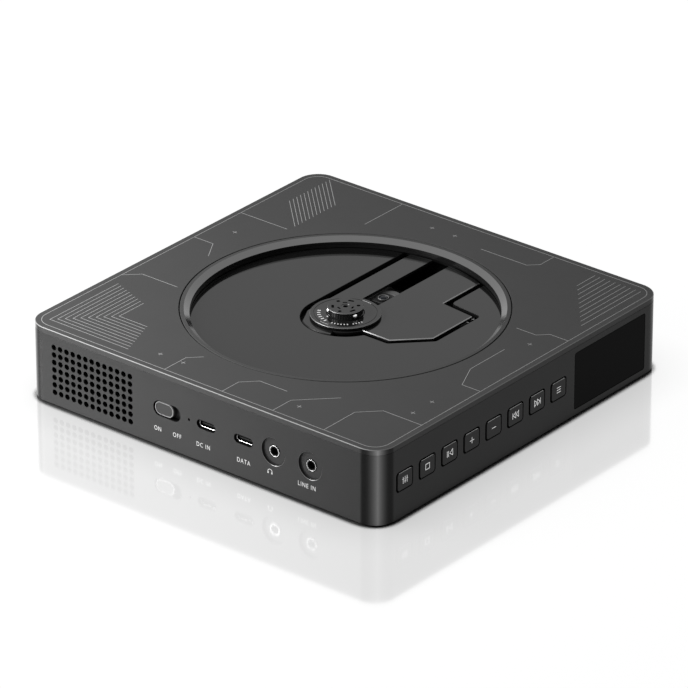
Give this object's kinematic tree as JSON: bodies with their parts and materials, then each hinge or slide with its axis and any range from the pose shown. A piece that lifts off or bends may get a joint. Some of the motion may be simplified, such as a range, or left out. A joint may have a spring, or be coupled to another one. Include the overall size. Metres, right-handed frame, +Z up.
{
  "type": "cd player",
  "caption": "Flat square top-loading CD player with an open disc well, side keys, a display window, a speaker grille and side sockets.",
  "frame": {"origin": "centre of the footprint, on the surface that the rubber feet stand on", "axes": "+Z up, square to the disc; -Y is the wall with the keys and the display, -X the wall with the speaker and the sockets"},
  "size_m": [0.184, 0.184, 0.034],
  "materials": {
    "case_plastic": "semi-gloss black moulding",
    "base_plastic": "matt black moulding",
    "foot_rubber": "matt",
    "screw_steel": "blackened",
    "ring_plastic": "polished",
    "well_plastic": "gloss black moulding",
    "zinc_steel": "zinc plated",
    "damper_rubber": "matt",
    "motor_steel": "drawn steel can",
    "shaft_steel": "ground",
    "turntable_plastic": "gloss black moulding",
    "ball_steel": "polished",
    "gear_nylon": "satin",
    "soft_black": "matt",
    "lens_glass": "coated",
    "board_green": "solder resist",
    "jack_metal": "nickel plated",
    "key_plastic": "semi-gloss black moulding",
    "cone_paper": "paper",
    "window_plastic": "polished black window",
    "battery_wrap": "shrink wrap"
  },
  "bodies": {
    "case": {"top_cover": "case_plastic", "side_housing": "case_plastic", "bottom_plate": "base_plastic", "rubber_foot_1": "foot_rubber", "rubber_foot_2": "foot_rubber", "rubber_foot_3": "foot_rubber", "rubber_foot_4": "foot_rubber", "case_screw_1": "screw_steel", "case_screw_2": "screw_steel", "case_screw_3": "screw_steel", "case_screw_4": "screw_steel", "well_ring": "ring_plastic", "well_floor": "well_plastic", "deck_cover": "well_plastic", "mech_chassis": "zinc_steel", "damper_grommet_1": "damper_rubber", "damper_grommet_2": "damper_rubber", "damper_grommet_3": "damper_rubber", "damper_grommet_4": "damper_rubber", "spindle_motor": "motor_steel", "front_guide_rod": "shaft_steel", "back_guide_rod": "shaft_steel", "sled_motor": "motor_steel", "main_board": "board_green", "headphone_jack": "jack_metal", "line_in_jack": "jack_metal", "power_socket": "jack_metal", "data_socket": "jack_metal", "switch_body": "zinc_steel", "speaker_frame": "soft_black", "speaker_cone": "cone_paper", "speaker_magnet": "motor_steel", "key_board": "board_green", "display_window": "window_plastic", "display_module": "soft_black", "battery_pack": "battery_wrap", "battery_lead": "damper_rubber"},
    "spindle": {"spindle_shaft": "shaft_steel", "turntable": "turntable_plastic", "turntable_hub": "turntable_plastic", "hub_cap": "turntable_plastic"},
    "ball_1": {"clamp_ball_1": "ball_steel"},
    "ball_2": {"clamp_ball_2": "ball_steel"},
    "ball_3": {"clamp_ball_3": "ball_steel"},
    "sled": {"pickup_sled": "soft_black", "actuator_yoke": "zinc_steel"},
    "lens": {"lens_holder": "soft_black", "objective_lens": "lens_glass"},
    "screw_drive": {"leadscrew": "shaft_steel", "leadscrew_gear": "gear_nylon"},
    "pinion": {"motor_pinion": "zinc_steel"},
    "switch": {"switch_thumb": "key_plastic"},
    "equaliser": {"equaliser_key": "key_plastic"},
    "stop": {"stop_key": "key_plastic"},
    "play_pause": {"play_pause_key": "key_plastic"},
    "volume_up": {"volume_up_key": "key_plastic"},
    "volume_down": {"volume_down_key": "key_plastic"},
    "previous": {"previous_key": "key_plastic"},
    "next": {"next_key": "key_plastic"},
    "menu": {"menu_key": "key_plastic"}
  },
  "joints": [
    {"name": "spindle_turn", "type": "hinge", "parent": "case", "child": "spindle", "pos_m": [0, 0, 0.031], "axis": [0, 0, 1], "continuous": true},
    {"name": "ball_1_slide", "type": "slide", "parent": "spindle", "child": "ball_1", "axis": [-0.9744, -0.225, 0], "range_m": [0, 0.0005], "stiffness_N_per_m": 100, "springref_m": -0.0005},
    {"name": "ball_2_slide", "type": "slide", "parent": "spindle", "child": "ball_2", "axis": [0.682, -0.7314, 0], "range_m": [0, 0.0005], "stiffness_N_per_m": 100, "springref_m": -0.0005},
    {"name": "ball_3_slide", "type": "slide", "parent": "spindle", "child": "ball_3", "axis": [0.2924, 0.9563, 0], "range_m": [0, 0.0005], "stiffness_N_per_m": 100, "springref_m": -0.0005},
    {"name": "sled_slide", "type": "slide", "parent": "case", "child": "sled", "axis": [1, 0, 0], "range_m": [-0.002, 0.034]},
    {"name": "lens_focus", "type": "slide", "parent": "sled", "child": "lens", "axis": [0, 0, 1], "range_m": [-0.0004, 0.0004], "stiffness_N_per_m": 60},
    {"name": "leadscrew_turn", "type": "hinge", "parent": "case", "child": "screw_drive", "pos_m": [0.0784, -0.028, 0.0172], "axis": [1, 0, 0], "range_deg": [-3100, 220]},
    {"name": "pinion_turn", "type": "hinge", "parent": "case", "child": "pinion", "pos_m": [0.0784, -0.0365, 0.0172], "axis": [1, 0, 0], "range_deg": [-480, 7400]},
    {"name": "power_switch_slide", "type": "slide", "parent": "case", "child": "switch", "axis": [0, -1, 0], "range_m": [0, 0.0034]},
    {"name": "equaliser_press", "type": "slide", "parent": "case", "child": "equaliser", "axis": [0, 1, 0], "range_m": [0, 0.0005], "stiffness_N_per_m": 400, "springref_m": -0.0005},
    {"name": "stop_press", "type": "slide", "parent": "case", "child": "stop", "axis": [0, 1, 0], "range_m": [0, 0.0005], "stiffness_N_per_m": 400, "springref_m": -0.0005},
    {"name": "play_pause_press", "type": "slide", "parent": "case", "child": "play_pause", "axis": [0, 1, 0], "range_m": [0, 0.0005], "stiffness_N_per_m": 400, "springref_m": -0.0005},
    {"name": "volume_up_press", "type": "slide", "parent": "case", "child": "volume_up", "axis": [0, 1, 0], "range_m": [0, 0.0005], "stiffness_N_per_m": 400, "springref_m": -0.0005},
    {"name": "volume_down_press", "type": "slide", "parent": "case", "child": "volume_down", "axis": [0, 1, 0], "range_m": [0, 0.0005], "stiffness_N_per_m": 400, "springref_m": -0.0005},
    {"name": "previous_press", "type": "slide", "parent": "case", "child": "previous", "axis": [0, 1, 0], "range_m": [0, 0.0005], "stiffness_N_per_m": 400, "springref_m": -0.0005},
    {"name": "next_press", "type": "slide", "parent": "case", "child": "next", "axis": [0, 1, 0], "range_m": [0, 0.0005], "stiffness_N_per_m": 400, "springref_m": -0.0005},
    {"name": "menu_press", "type": "slide", "parent": "case", "child": "menu", "axis": [0, 1, 0], "range_m": [0, 0.0005], "stiffness_N_per_m": 400, "springref_m": -0.0005}
  ],
  "couplings": [
    {"joint": "leadscrew_turn", "follows": "sled_slide", "rad_per_m": -1570.8},
    {"joint": "pinion_turn", "follows": "sled_slide", "rad_per_m": 3769.9}
  ]
}
